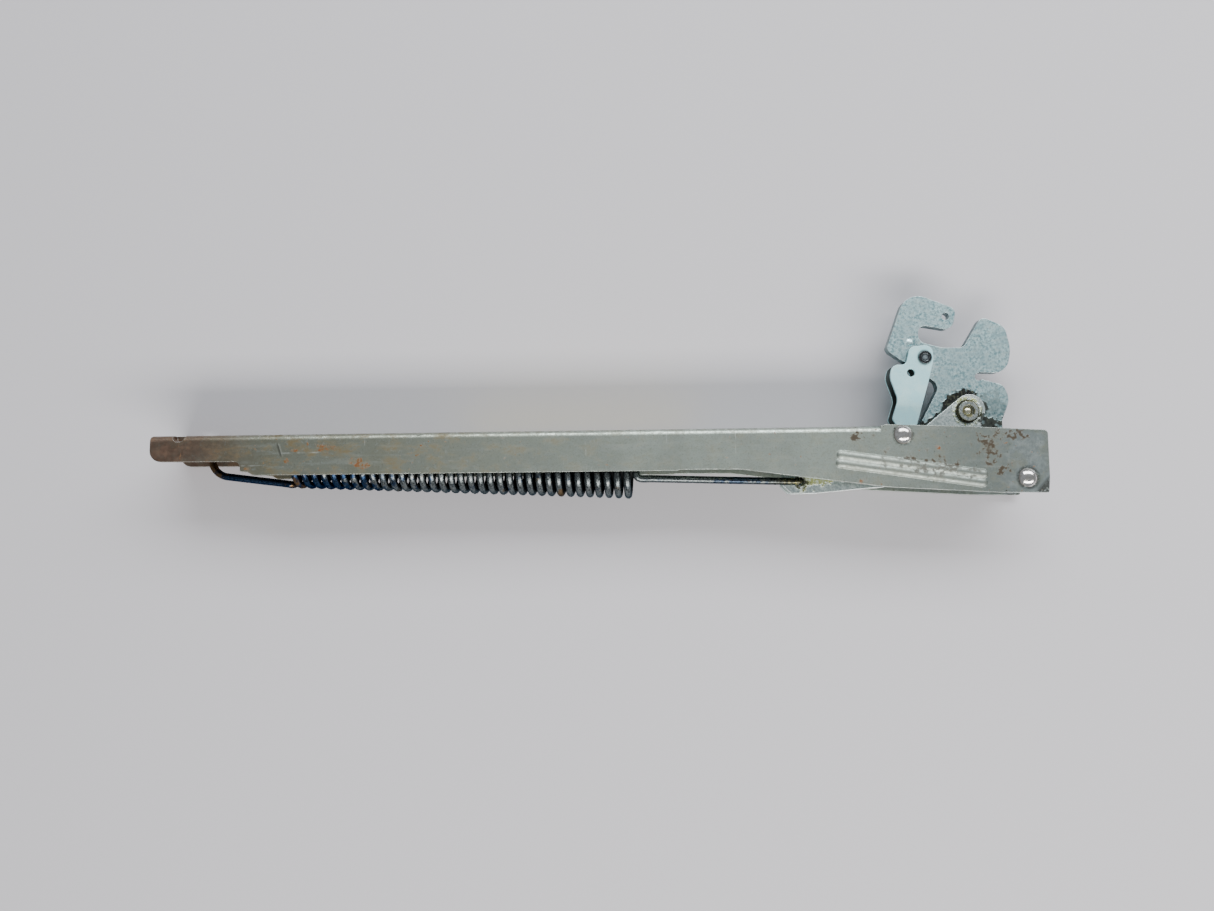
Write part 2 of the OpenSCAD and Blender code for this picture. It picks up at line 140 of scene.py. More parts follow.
class Finish:
    """A procedural material in the row frame's own coordinates, built node by node."""

    def __init__(self, name, metallic=1.0, roughness=0.4, rounding_mm=0.18):
        self.material = bpy.data.materials.new(name)
        self.material.use_nodes = True
        self.tree = self.material.node_tree
        self.shader = self.tree.nodes["Principled BSDF"]
        self.shader.inputs["Metallic"].default_value = metallic
        self.shader.inputs["Roughness"].default_value = roughness
        self.place = self.add("ShaderNodeTexCoord").outputs["Object"]
        self.parts = None
        if rounding_mm:
            self.feed(self.shader.inputs["Normal"], self.rounded_normal(rounding_mm))

    def add(self, kind, **settings):
        node = self.tree.nodes.new(kind)
        for key, value in settings.items():
            setattr(node, key, value)
        return node

    def feed(self, socket, value):
        """Links a socket, or sets a plain number or colour."""
        if isinstance(value, bpy.types.NodeSocket):
            self.tree.links.new(value, socket)
        elif isinstance(value, (tuple, list)) and len(value) == 3 and len(socket.default_value) == 4:
            socket.default_value = (*value, 1.0)
        else:
            socket.default_value = value

    def coords(self, stretch=(1, 1, 1), turn=0.0, shift=(0, 0, 0)):
        node = self.add("ShaderNodeMapping")
        self.feed(node.inputs["Vector"], self.place)
        node.inputs["Scale"].default_value = stretch
        node.inputs["Rotation"].default_value = (0, 0, turn)
        node.inputs["Location"].default_value = shift
        return node.outputs["Vector"]

    def noise(self, size_mm, detail=4.0, rough=0.55, stretch=(1, 1, 1), turn=0.0, shift=(0, 0, 0)):
        """Cloudy value of about 0.3 to 0.7 whose lumps are size_mm across."""
        node = self.add("ShaderNodeTexNoise")
        self.feed(node.inputs["Vector"], self.coords(stretch, turn, shift))
        node.inputs["Scale"].default_value = 1.0 / (size_mm * MM)
        node.inputs["Detail"].default_value = detail
        node.inputs["Roughness"].default_value = rough
        return node.outputs["Fac"]

    def math(self, operation, a, b=0.0):
        node = self.add("ShaderNodeMath", operation=operation)
        self.feed(node.inputs[0], a)
        self.feed(node.inputs[1], b)
        return node.outputs[0]

    def times(self, *values):
        total = values[0]
        for value in values[1:]:
            total = self.math("MULTIPLY", total, value)
        return total

    def most(self, *values):
        total = values[0]
        for value in values[1:]:
            total = self.math("MAXIMUM", total, value)
        return total

    def span(self, value, low, high, to_low=0.0, to_high=1.0):
        """Value from low to high becomes to_low to to_high, smoothly and clamped."""
        if low > high:
            low, high, to_low, to_high = high, low, to_high, to_low
        node = self.add("ShaderNodeMapRange", interpolation_type="SMOOTHSTEP", clamp=True)
        for key, number in (("From Min", low), ("From Max", high), ("To Min", to_low), ("To Max", to_high)):
            self.feed(node.inputs[key], number)
        self.feed(node.inputs["Value"], value)
        return node.outputs["Result"]

    def blend(self, factor, a, b):
        node = self.add("ShaderNodeMix", data_type="RGBA")
        self.feed(node.inputs["Factor"], factor)
        self.feed(node.inputs["A"], a)
        self.feed(node.inputs["B"], b)
        return node.outputs["Result"]

    def axis(self, name, zero=0.0):
        """Distance in millimetres along an axis, from a place on it given in metres."""
        if self.parts is None:
            self.parts = self.add("ShaderNodeSeparateXYZ")
            self.feed(self.parts.inputs[0], self.place)
        node = self.add("ShaderNodeMath", operation="SUBTRACT")
        self.feed(node.inputs[0], self.parts.outputs[name])
        node.inputs[1].default_value = zero
        return self.math("MULTIPLY", node.outputs[0], 1.0 / MM)

    def distance(self, point, stretch=(1, 1, 0), turn=0.0):
        """Distance in millimetres from a point, seen from the side unless stretch has a depth."""
        move = self.add("ShaderNodeVectorMath", operation="SUBTRACT")
        self.feed(move.inputs[0], self.place)
        move.inputs[1].default_value = point
        spin = self.add("ShaderNodeMapping")
        self.feed(spin.inputs["Vector"], move.outputs[0])
        spin.inputs["Rotation"].default_value = (0, 0, turn)
        length = self.add("ShaderNodeVectorMath", operation="LENGTH")
        grow = self.add("ShaderNodeVectorMath", operation="MULTIPLY")
        self.feed(grow.inputs[0], spin.outputs[0])
        grow.inputs[1].default_value = [s / MM for s in stretch]
        self.feed(length.inputs[0], grow.outputs[0])
        return length.outputs["Value"]

    def patch(self, point, radius, wobble=None, stretch=(1, 1, 0), turn=0.0):
        """1 inside a blurred patch of the given radius in millimetres, 0 well outside it."""
        away = self.distance(point, stretch, turn)
        if wobble is not None:
            away = self.math("ADD", away, self.span(wobble, 0.3, 0.7, radius * 0.6, -radius * 0.6))
        return self.span(away, radius * 1.15, radius * 0.6)

    def ring(self, point, inner, outer, soft=0.3):
        """1 between two radii in millimetres round a point, seen from the side."""
        away = self.distance(point)
        past_inner = self.span(away, inner - soft, inner + soft)
        return self.times(past_inner, self.span(away, outer + soft, outer - soft))

    def beside(self, point, angle):
        """Signed distance in millimetres from a line through a point, positive on its left."""
        across = Vector((-math.sin(angle), math.cos(angle), 0))
        move = self.add("ShaderNodeVectorMath", operation="SUBTRACT")
        self.feed(move.inputs[0], self.place)
        move.inputs[1].default_value = point
        dot = self.add("ShaderNodeVectorMath", operation="DOT_PRODUCT")
        self.feed(dot.inputs[0], move.outputs[0])
        dot.inputs[1].default_value = across / MM
        return dot.outputs["Value"]

    def cut_faces(self):
        """1 on faces that stand square to the flat sides, such as sheared edges and holes."""
        normal = self.add("ShaderNodeSeparateXYZ")
        self.feed(normal.inputs[0], self.add("ShaderNodeNewGeometry").outputs["Normal"])
        return self.span(self.math("ABSOLUTE", normal.outputs["Z"]), 0.35, 0.15)

    def rounded_normal(self, radius_mm, samples=6):
        """Normal that turns softly across edges, as on a stamped or tumbled part."""
        node = self.add("ShaderNodeBevel", samples=samples)
        node.inputs["Radius"].default_value = radius_mm * MM
        return node.outputs["Normal"]

    def worn_edges(self, radius_mm=0.35):
        """1 along edges, from how far a rounded normal leans from the true one."""
        true = self.add("ShaderNodeNewGeometry")
        dot = self.add("ShaderNodeVectorMath", operation="DOT_PRODUCT")
        self.feed(dot.inputs[0], self.rounded_normal(radius_mm))
        self.feed(dot.inputs[1], true.outputs["Normal"])
        return self.span(dot.outputs["Value"], 0.985, 0.88)

    def bump(self, height, depth_mm):
        node = self.add("ShaderNodeBump")
        node.inputs["Distance"].default_value = depth_mm * MM
        self.feed(node.inputs["Height"], height)
        socket = self.shader.inputs["Normal"]
        if socket.is_linked:
            self.feed(node.inputs["Normal"], socket.links[0].from_socket)
        self.feed(socket, node.outputs["Normal"])

    def finish(self, colour=None, roughness=None, metallic=None):
        for key, value in (("Base Color", colour), ("Roughness", roughness), ("Metallic", metallic)):
            if value is not None:
                self.feed(self.shader.inputs[key], value)
        return self.material


# x, y and radius in millimetres, narrowing along x, turn
RUST_MARKS = (
    (-224.9, 10.5, 1.3, 0.42, 0.15), (-213.3, 5.6, 1.5, 0.5, 0.1), (-235.0, 9.7, 0.6, 0.45, 0.0),
    (-237.2, 6.6, 0.8, 1.2, 0.9), (-230.4, 12.0, 0.5, 1.2, 0.0), (-249.6, 4.1, 0.8, 0.8, 0.3),
    (-28.4, 9.7, 0.6, 0.8, 0.0), (-53.2, -0.7, 0.9, 0.7, 0.2),
)
DIRT_STAINS = (
    (-14.0, 11.0, 3.2, 0.8, -0.6), (-5.0, 14.3, 2.2, 0.3, 0.0), (-11.5, 6.5, 2.6, 1.0, 0.4),
    (-8.0, 3.0, 2.4, 0.9, 0.0), (-53.5, 13.6, 1.5, 0.35, 0.0), (-30.0, 4.0, 3.6, 0.25, 0.14),
)


def wall_patches(f, places, ragged):
    """1 inside any of the ragged patches on the channel's walls."""
    return f.most(*[
        f.patch(from_pivot(x, y, WALL_OUT), size, ragged, (narrow, 1, 0), turn)
        for x, y, size, narrow, turn in places
    ])


def zinc_sheet(f, x, mottle):
    """The sheet's own colour: browner at the nose, darker at the open end, mottled all over."""
    cloud = f.noise(13, 3)
    drawn = f.noise(2.2, 4, 0.6, stretch=(0.12, 1, 1))
    dark_grain = f.noise(0.6, 4, 0.7, shift=(0.15, 0.3, 0))
    colour = f.blend(f.span(x, -270, -90), (0.27, 0.255, 0.18), (0.50, 0.57, 0.51))
    colour = f.blend(f.span(x, -60, -5), colour, (0.27, 0.315, 0.30))
    colour = f.blend(f.span(cloud, 0.36, 0.66, 0.0, 0.5), colour, (0.36, 0.40, 0.36))
    colour = f.blend(f.span(mottle, 0.42, 0.64, 0.0, 0.60), colour, (0.22, 0.245, 0.205))
    colour = f.blend(f.span(mottle, 0.48, 0.32, 0.0, 0.50), colour, (0.66, 0.73, 0.66))
    colour = f.blend(f.span(drawn, 0.54, 0.68, 0.0, 0.25), colour, (0.55, 0.60, 0.56))
    return f.blend(f.span(dark_grain, 0.54, 0.68, 0.0, 0.5), colour, (0.16, 0.17, 0.13))


def browned_zone(f, x):
    """Olive and brown film, strongest towards the nose."""
    film = f.noise(4.5, 5, 0.65, stretch=(0.7, 1.1, 1), shift=(0.3, 0, 0))
    return f.times(f.span(film, 0.46, 0.68), f.span(x, -90, -230, 0.22, 0.75))


def rust_spots(f):
    """Small specks nearly everywhere, and marks at chosen places."""
    speck = f.noise(1.1, 2, 0.5, shift=(0.7, 0.2, 0))
    where = f.span(f.noise(16, 2, 0.5, shift=(0.1, 0.5, 0)), 0.42, 0.62)
    specks = f.times(f.span(speck, 0.66, 0.74), where)
    marks = wall_patches(f, RUST_MARKS, f.noise(1.6, 5, 0.7))
    return f.times(f.most(specks, marks), f.span(f.noise(1.2, 4, 0.6), 0.38, 0.56, 0.2, 1.0))


def brown_dirt(f):
    """Stains near the open end's upper corner and under the shoulder."""
    lumps = f.noise(1.7, 4, 0.62, shift=(0.2, 0.9, 0))
    stains = wall_patches(f, DIRT_STAINS, f.noise(4, 4, 0.6))
    return f.times(stains, f.span(lumps, 0.46, 0.58))


def dark_pits(f, x):
    pits = f.span(f.noise(0.8, 2, 0.5, shift=(0.4, 0.4, 0)), 0.70, 0.76)
    return f.times(pits, f.span(x, -75, -40, 0.3, 1.0))


def dark_rings_and_corner_shade(f):
    """Dark rings round the rivets' heads, and painted shade over the hammered corner's bent facet."""
    ooze = f.noise(0.7, 4, 0.7)
    collar = f.most(
        f.times(f.ring(PIVOT, 2.6, 3.75, 0.35), f.span(ooze, 0.36, 0.52)),
        f.times(f.ring(GUIDE, 2.6, 3.45, 0.3), f.span(ooze, 0.42, 0.56)),
    )
    # painted shade: the hammered corner's bent facet is darkened, with a ragged edge
    corner = f.beside(from_pivot(4.9, -2.3), math.radians(48))
    near = f.patch(from_pivot(4.6, -1.4), 4.4, ooze)
    greased = f.times(f.span(corner, 0.9, -0.2), f.span(ooze, 0.25, 0.45, 0.6, 1.0), near)
    return f.most(f.times(collar, 0.9), greased)


def scratches(f):
    """Fine lines in three directions, gathered in cloudy areas."""
    lines = f.most(
        f.span(f.noise(1.0, 1, 0.4, stretch=(1, 0.045, 1), turn=0.75, shift=(0.5, 0, 0)), 0.75, 0.78),
        f.span(f.noise(1.1, 1, 0.4, stretch=(1, 0.04, 1), turn=1.35, shift=(0, 0.6, 0)), 0.75, 0.78),
        f.span(f.noise(0.9, 1, 0.4, stretch=(0.035, 1, 1), turn=0.08), 0.745, 0.77),
    )
    return f.times(lines, f.span(f.noise(5, 3, shift=(0.9, 0, 0)), 0.47, 0.60))


def nose_crease(f):
    """Short crease near the nose: painted shade along its line, and a painted highlight on the side to the
    right of it.
    """
    middle = from_pivot(-239.4, 10.0)
    aside = f.beside(middle, math.radians(-72))
    short = f.patch(middle, 2.4)
    crease = f.times(short, f.span(aside, -0.9, -0.2), f.span(aside, 0.2, 0.0))
    painted_crease_highlight = f.times(short, f.span(aside, 0.05, 0.25), f.span(aside, 0.8, 0.3))
    return crease, painted_crease_highlight


def channel_steel():
    """Dull zinc sheet: green-grey, browned towards the nose, with rust marks, scratches and dirt."""
    f = Finish("channel_steel")
    x = f.axis("X", PIVOT.x)
    mottle = f.noise(1.3, 6, 0.7)
    browned, rust, dirt = browned_zone(f, x), rust_spots(f), brown_dirt(f)
    black, scratch = dark_rings_and_corner_shade(f), scratches(f)
    crease, painted_crease_highlight = nose_crease(f)

    colour = f.blend(browned, zinc_sheet(f, x, mottle), (0.21, 0.155, 0.075))
    heat = f.times(f.span(x, -240, -276), f.span(f.noise(3.5, 5, 0.6), 0.3, 0.6, 0.55, 0.95))
    colour = f.blend(heat, colour, (0.21, 0.135, 0.10))
    clean = f.times(f.span(x, -12, -3), f.span(f.noise(5, 3), 0.35, 0.55))
    colour = f.blend(f.times(clean, 0.7), colour, (0.33, 0.38, 0.385))
    rust_colour = f.blend(f.span(mottle, 0.4, 0.6), (0.20, 0.070, 0.020), (0.15, 0.085, 0.030))
    colour = f.blend(rust, colour, rust_colour)
    colour = f.blend(f.times(dirt, 0.95), colour, (0.050, 0.032, 0.016))
    colour = f.blend(f.times(dark_pits(f, x), 0.85), colour, (0.045, 0.030, 0.018))
    # dark rings round the rivets' heads, and painted shade on the hammered corner
    colour = f.blend(f.times(black, 0.92), colour, (0.035, 0.038, 0.035))

    # the ribs are a little duller than the wall that they are pressed from
    raised = f.span(f.math("ABSOLUTE", f.axis("Z", PIVOT.z)), WALL_OUT + 0.03, WALL_OUT + 0.2)
    colour = f.blend(f.times(raised, 0.5), colour, (0.22, 0.24, 0.215))
    colour = f.blend(f.times(scratch, 0.35), colour, (0.72, 0.76, 0.72))
    colour = f.blend(f.times(f.worn_edges(), 0.45), colour, (0.72, 0.77, 0.73))
    # painted shade along the crease and a painted highlight beside it
    colour = f.blend(f.times(crease, 0.65), colour, (0.10, 0.10, 0.085))
    colour = f.blend(f.times(painted_crease_highlight, 0.35), colour, (0.70, 0.72, 0.64))
    colour = f.blend(0.08, colour, (0.0, 0.0, 0.0))

    rough = f.math("ADD", f.span(mottle, 0.3, 0.7, 0.35, 0.49), f.times(raised, 0.06))
    rough = f.math("ADD", rough, f.times(f.most(rust, dirt, browned), 0.25))
    rough = f.math("SUBTRACT", rough, f.times(black, 0.12))
    metal = f.span(f.most(rust, dirt, f.times(black, 0.8)), 0.1, 0.8, 1.0, 0.45)
    f.bump(f.noise(7, 2), 0.06)
    f.bump(f.noise(0.35, 3, 0.6), 0.004)
    f.bump(f.most(rust, dirt), 0.02)
    f.bump(scratch, -0.012)
    f.bump(crease, -0.05)
    return f.finish(colour, rough, metal)


def arm_grease_and_shade(f, ooze):
    """A dark band above the link's edge, a thick grease patch to the right of its rivet, and painted shade
    with grit low on the arm, between the channel's walls.
    """
    wavy = f.math("ADD", f.distance(LINK_PIVOT), f.span(ooze, 0.3, 0.7, -0.6, 0.6))
    around = f.times(f.span(wavy, 8.1, 7.2), f.span(f.axis("Y", LINK_PIVOT.y), -2.5, 1.0))
    above_link = f.beside(from_pivot(-30.5, 16.5), math.radians(39.2))
    right = f.axis("X", LINK_PIVOT.x)
    along = f.times(f.span(f.math("ADD", above_link, f.span(ooze, 0.3, 0.7, -0.7, 0.7)), 1.9, 0.8),
                    f.span(right, -19, -15), f.span(right, -1.5, -4.0))
    thick = f.patch(from_pivot(-7.4, 18.3), 4.6, ooze, (0.8, 1.5, 0), 0.2)
    # painted shade with grit: the arm darkened low down, where it sits between the channel's walls
    low = f.times(f.span(f.axis("Y", PIVOT.y), 17.2, 15.5), f.span(ooze, 0.3, 0.55, 0.4, 1.0))
    return f.most(around, along, thick, f.times(low, 0.7))


def arm_zinc():
    """Blue zinc plating, finely speckled, with black grease and a dark band round the link, and painted
    shade low on the arm.
    """
    f = Finish("arm_zinc")
    fine = f.noise(1.0, 8, 0.78)
    cloud = f.noise(5, 4, 0.6)
    colour = f.blend(f.span(fine, 0.39, 0.60), (0.125, 0.26, 0.295), (0.72, 0.95, 0.96))
    colour = f.blend(f.span(cloud, 0.42, 0.62, 0.0, 0.4), colour, (0.40, 0.56, 0.58))
    flecks = f.times(f.span(f.noise(0.5, 3, 0.6, shift=(0.3, 0, 0)), 0.60, 0.68),
                     f.span(f.noise(7, 2, shift=(0, 0.8, 0)), 0.42, 0.56))
    colour = f.blend(f.times(flecks, 0.55), colour, (0.80, 0.84, 0.70))
    dark = f.span(f.noise(0.6, 3, 0.6, shift=(0.9, 0.1, 0)), 0.63, 0.72)
    colour = f.blend(f.times(dark, 0.6), colour, (0.12, 0.19, 0.20))
    streak = f.noise(1.2, 3, 0.6, stretch=(0.25, 1, 1), turn=-0.5)
    colour = f.blend(f.span(streak, 0.52, 0.68, 0.0, 0.35), colour, (0.70, 0.80, 0.76))
    colour = f.blend(f.times(f.worn_edges(), 0.5), colour, (0.80, 0.88, 0.88))

    ooze = f.noise(1.6, 2, 0.4)
    grease = arm_grease_and_shade(f, ooze)
    shade = f.blend(f.span(f.noise(0.9, 4, 0.6), 0.5, 0.7), (0.012, 0.013, 0.012), (0.085, 0.09, 0.06))
    # grease, the dark band above the link, and painted shade low on the arm, all in one dark colour
    colour = f.blend(grease, colour, shade)
    # sheared faces and holes darker: partly their dull cut, partly painted shade on faces turned from the
    # light
    colour = f.blend(f.times(f.cut_faces(), 0.7), colour, (0.10, 0.13, 0.13))
    film = f.times(f.patch(from_pivot(-5.5, 22.5), 6.0, f.noise(2.5, 4)), 0.35)
    colour = f.blend(film, colour, (0.12, 0.14, 0.12))

    rough = f.span(fine, 0.3, 0.7, 0.46, 0.34)
    f.bump(f.noise(3, 3), 0.03)
    f.bump(fine, 0.012)
    f.bump(f.noise(0.3, 3, 0.6), 0.003)
    f.bump(f.times(grease, ooze), 0.15)
    return f.finish(colour, rough, f.span(grease, 0.2, 0.8, 1.0, 0.6))


def catch_zinc():
    """Smooth pale blue zinc with faint clouds, a few dark specks, rubbed edges, a dark ring round its rivet
    and painted shade between its cheeks.
    """
    f = Finish("catch_zinc")
    fine = f.noise(0.5, 5, 0.6)
    cloud = f.noise(4.5, 3)
    colour = f.blend(f.span(cloud, 0.38, 0.62), (0.52, 0.90, 0.96), (0.63, 0.98, 1.0))
    colour = f.blend(f.span(fine, 0.48, 0.66, 0.0, 0.35), colour, (0.50, 0.72, 0.74))
    specks = f.span(f.noise(0.55, 2, shift=(0.2, 0.7, 0)), 0.68, 0.74)
    colour = f.blend(f.times(specks, 0.5), colour, (0.22, 0.28, 0.28))
    rubbed = f.worn_edges()
    colour = f.blend(f.times(rubbed, 0.35), colour, (0.85, 0.95, 0.95))
    depth = f.math("ABSOLUTE", f.axis("Z", PIVOT.z))
    # dark ring round the rivet, and painted shade on the faces between the cheeks, where the fold lies in
    # shadow
    rivet_ring_and_fold_shade = f.most(f.times(f.ring(CATCH_PIVOT, 1.9, 2.5, 0.25), 0.7), f.span(depth, 2.35, 1.95))
    colour = f.blend(rivet_ring_and_fold_shade, colour, (0.08, 0.10, 0.10))
    f.bump(f.noise(2.5, 3), 0.02)
    f.bump(fine, 0.006)
    return f.finish(colour, f.span(fine, 0.3, 0.7, 0.34, 0.44), 0.58)


def link_zinc():
    """Bright zinc with yellow-green grease at the spring's hook and round the rivet."""
    f = Finish("link_zinc")
    fine = f.noise(0.6, 6, 0.7)
    cloud = f.noise(3.5, 4)
    colour = f.blend(f.span(fine, 0.38, 0.62), (0.50, 0.61, 0.60), (0.90, 1.0, 0.97))
    colour = f.blend(f.span(cloud, 0.45, 0.62, 0.0, 0.4), colour, (0.58, 0.66, 0.63))
    colour = f.blend(f.times(f.worn_edges(0.4), 0.8), colour, (0.92, 0.95, 0.93))
    ooze = f.noise(1.3, 5, 0.7)
    yellow = f.most(
        f.patch(HOOK_HOLE + Vector((1.2, 0.6, 0)) * MM, 3.2, ooze),
        f.patch(HOOK_HOLE + Vector((7.0, 0.9, 0)) * MM, 2.2, ooze, (0.6, 1, 0)),
        f.times(f.ring(LINK_PIVOT, 3.8, 5.0, 0.5), f.span(ooze, 0.42, 0.60)),
    )
    colour = f.blend(f.times(yellow, f.span(ooze, 0.35, 0.6, 0.35, 0.9)), colour, (0.34, 0.36, 0.09))
    black = f.most(
        f.times(f.patch(HOOK_HOLE, 2.3, ooze), f.span(ooze, 0.42, 0.55)),
        f.times(f.ring(LINK_PIVOT, 3.6, 4.3, 0.3), f.span(ooze, 0.48, 0.36)),
        f.patch(LINK_PIVOT + Vector((5.2, -2.4, 0)) * MM, 2.2, ooze),
    )
    colour = f.blend(f.times(black, 0.9), colour, (0.03, 0.032, 0.025))
    wet = f.most(yellow, black)
    f.bump(fine, 0.008)
    f.bump(f.times(wet, ooze), 0.12)
    rough = f.math("SUBTRACT", f.span(fine, 0.3, 0.7, 0.30, 0.40), f.times(wet, 0.12))
    return f.finish(colour, rough, f.span(wet, 0.2, 0.9, 1.0, 0.35))


def plain_zinc():
    """Clean zinc for sleeves, bush, roller and collar: turned surface with a light oil film."""
    f = Finish("zinc_steel")
    fine = f.noise(0.5, 5, 0.65)
    turned = f.noise(0.5, 2, 0.5, stretch=(0.1, 0.1, 1.6))
    colour = f.blend(f.span(fine, 0.38, 0.62), (0.46, 0.52, 0.53), (0.66, 0.72, 0.72))
    colour = f.blend(f.span(f.noise(2.5, 4), 0.5, 0.66, 0.0, 0.5), colour, (0.18, 0.17, 0.11))
    f.bump(turned, 0.006)
    return f.finish(colour, f.span(fine, 0.3, 0.7, 0.28, 0.42))


def polished_steel():
    """Polished rivet heads with dull pits, smears and a dark ring at the rim."""
    f = Finish("polished_steel")
    smear = f.noise(1.4, 5, 0.7)
    pits = f.span(f.noise(0.35, 3, 0.6, shift=(0.4, 0, 0)), 0.60, 0.70)
    colour = f.blend(f.span(smear, 0.42, 0.60), (0.86, 0.84, 0.82), (0.62, 0.60, 0.56))
    colour = f.blend(f.times(pits, 0.6), colour, (0.20, 0.17, 0.14))
    rims = []
    for point in (PIVOT, GUIDE):
        away = f.distance(point)
        rims.append(f.times(f.span(away, 2.55, 3.0), f.span(away, 8, 6)))
    rim = f.most(*rims)
    rim = f.times(rim, f.span(smear, 0.36, 0.52, 0.5, 1.0))
    colour = f.blend(f.times(rim, 0.85), colour, (0.05, 0.042, 0.035))
    f.bump(f.noise(0.9, 3), 0.02)
    f.bump(pits, -0.006)
    rough = f.span(smear, 0.40, 0.64, 0.08, 0.24)
    return f.finish(colour, f.math("ADD", rough, f.times(rim, 0.3)), f.span(rim, 0.3, 1.0, 1.0, 0.5))


def rivet_zinc():
    """Rolled rivet: zinc rim, yellowed core and grease in the groove between them."""
    f = Finish("rivet_zinc")
    fine = f.noise(0.5, 5, 0.7)
    ooze = f.noise(0.9, 4, 0.7)
    away = f.distance(LINK_PIVOT)
    colour = f.blend(f.span(fine, 0.38, 0.62), (0.42, 0.47, 0.45), (0.74, 0.80, 0.77))
    core = f.span(away, 1.7, 1.4)
    core_colour = f.blend(f.span(fine, 0.4, 0.6), (0.75, 0.74, 0.60), (0.48, 0.45, 0.28))
    colour = f.blend(core, colour, core_colour)
    groove = f.times(f.span(away, 1.25, 1.5), f.span(away, 2.35, 2.05))
    dirty = f.most(f.times(groove, f.span(ooze, 0.3, 0.5, 0.45, 1.0)),
                   f.times(f.span(away, 2.9, 3.25), f.span(ooze, 0.40, 0.55)))
    dirt_colour = f.blend(f.span(ooze, 0.45, 0.6), (0.05, 0.05, 0.03), (0.22, 0.20, 0.06))
    colour = f.blend(f.times(dirty, 0.85), colour, dirt_colour)
    f.bump(fine, 0.010)
    f.bump(ooze, 0.05)
    return f.finish(colour, f.span(fine, 0.3, 0.7, 0.22, 0.36), f.span(dirty, 0.3, 0.9, 1.0, 0.4))


def black_steel():
    """Black rivet, rubbed to grey steel on its rims, with a painted highlight at its centre."""
    f = Finish("black_steel", metallic=0.85)
    fine = f.noise(0.4, 4, 0.6)
    colour = f.blend(f.span(fine, 0.4, 0.6), (0.022, 0.025, 0.028), (0.06, 0.066, 0.07))
    away = f.distance(CATCH_PIVOT)
    colour = f.blend(f.times(f.worn_edges(0.25), 0.55), colour, (0.34, 0.38, 0.40))
    # painted highlight: a pale bluish centre on the head
    colour = f.blend(f.span(away, 1.25, 0.2, 0.0, 0.75), colour, (0.42, 0.50, 0.54))
    f.bump(fine, 0.008)
    return f.finish(colour, f.span(fine, 0.3, 0.7, 0.22, 0.38))


def greased_steel():
    """Washers under dark grease with a thin yellow film."""
    f = Finish("greased_steel", metallic=0.4)
    ooze = f.noise(0.8, 4, 0.7)
    colour = f.blend(f.span(ooze, 0.42, 0.62), (0.02, 0.021, 0.018), (0.13, 0.13, 0.06))
    f.bump(ooze, 0.10)
    return f.finish(colour, f.span(ooze, 0.3, 0.7, 0.20, 0.40))


def coil_inside_shade(f, x):
    """1 on the turns' inner side, where painted shade goes, from the distance to the coil's slightly
    falling axis.
    """
    fall = (COIL_RIGHT.y - COIL_LEFT.y) / (COIL_RIGHT.x - COIL_LEFT.x)
    sink = f.math("SUBTRACT", f.axis("Y", COIL_LEFT.y), f.times(f.axis("X", COIL_LEFT.x), fall))
    depth = f.axis("Z", PIVOT.z)
    from_axis = f.math("SQRT", f.math("ADD", f.times(sink, sink), f.times(depth, depth)))
    return f.times(f.span(from_axis, 6.5, 5.9), f.span(x, -243, -239), f.span(x, -122, -125))


def blued_steel():
    """Spring wire: dark scale, strong temper blue on its left third, brown spots, grease, and painted shade
    on the turns' inner side.
    """
    f = Finish("blued_steel", rounding_mm=0)
    f.shader.inputs["Specular Tint"].default_value = (0.30, 0.36, 0.42, 1)
    x = f.axis("X", PIVOT.x)
    fine = f.noise(0.5, 5, 0.7)
    cloud = f.noise(3.0, 4, 0.6)
    colour = f.blend(f.span(fine, 0.38, 0.64), (0.06, 0.07, 0.073), (0.19, 0.21, 0.21))
    left = f.span(f.math("ADD", x, f.span(cloud, 0.3, 0.7, -16, 16)), -206, -222)
    spots = f.span(f.noise(2.6, 3, 0.6, shift=(0.2, 0, 0.4)), 0.57, 0.66)
    patch = f.patch(from_pivot(-91, 0, 5), 3.5, cloud, (0.5, 1, 0))
    blue = f.most(left, f.times(spots, f.span(x, -110, -190, 0.3, 0.8)), f.times(patch, 0.8))
    temper_blue = f.blend(f.span(fine, 0.4, 0.6), (0.003, 0.010, 0.028), (0.010, 0.034, 0.085))
    colour = f.blend(f.times(blue, 0.92), colour, temper_blue)
    brown = f.span(f.noise(2.2, 4, 0.65, shift=(0.6, 0.1, 0)), 0.60, 0.70)
    ends = f.most(
        f.patch(from_pivot(-265, 6), 4.5, cloud),
        f.patch(from_pivot(-236.5, -0.5), 2.2, cloud),
        f.patch(from_pivot(-149.5, -4.5), 1.6, cloud),
    )
    colour = f.blend(f.most(f.times(brown, 0.45), f.times(ends, 0.75)), colour, (0.16, 0.095, 0.035))
    ooze = f.noise(1.2, 4, 0.7)
    greased = f.times(f.span(x, -88, -74), f.span(ooze, 0.38, 0.55))
    colour = f.blend(f.times(greased, 0.85), colour, (0.03, 0.03, 0.02))
    yellow = f.times(f.span(x, -82, -73), f.span(ooze, 0.52, 0.42))
    colour = f.blend(f.times(yellow, 0.6), colour, (0.20, 0.17, 0.04))
    inside = coil_inside_shade(f, x)
    # painted shade: the turns' inner side, where the coil's inside lies in shadow
    colour = f.blend(f.times(inside, 0.92), colour, (0.010, 0.010, 0.010))
    f.bump(fine, 0.015)
    f.bump(cloud, 0.03)
    rough = f.math("ADD", f.span(fine, 0.3, 0.7, 0.22, 0.38), f.times(inside, 0.3))
    return f.finish(colour, rough)


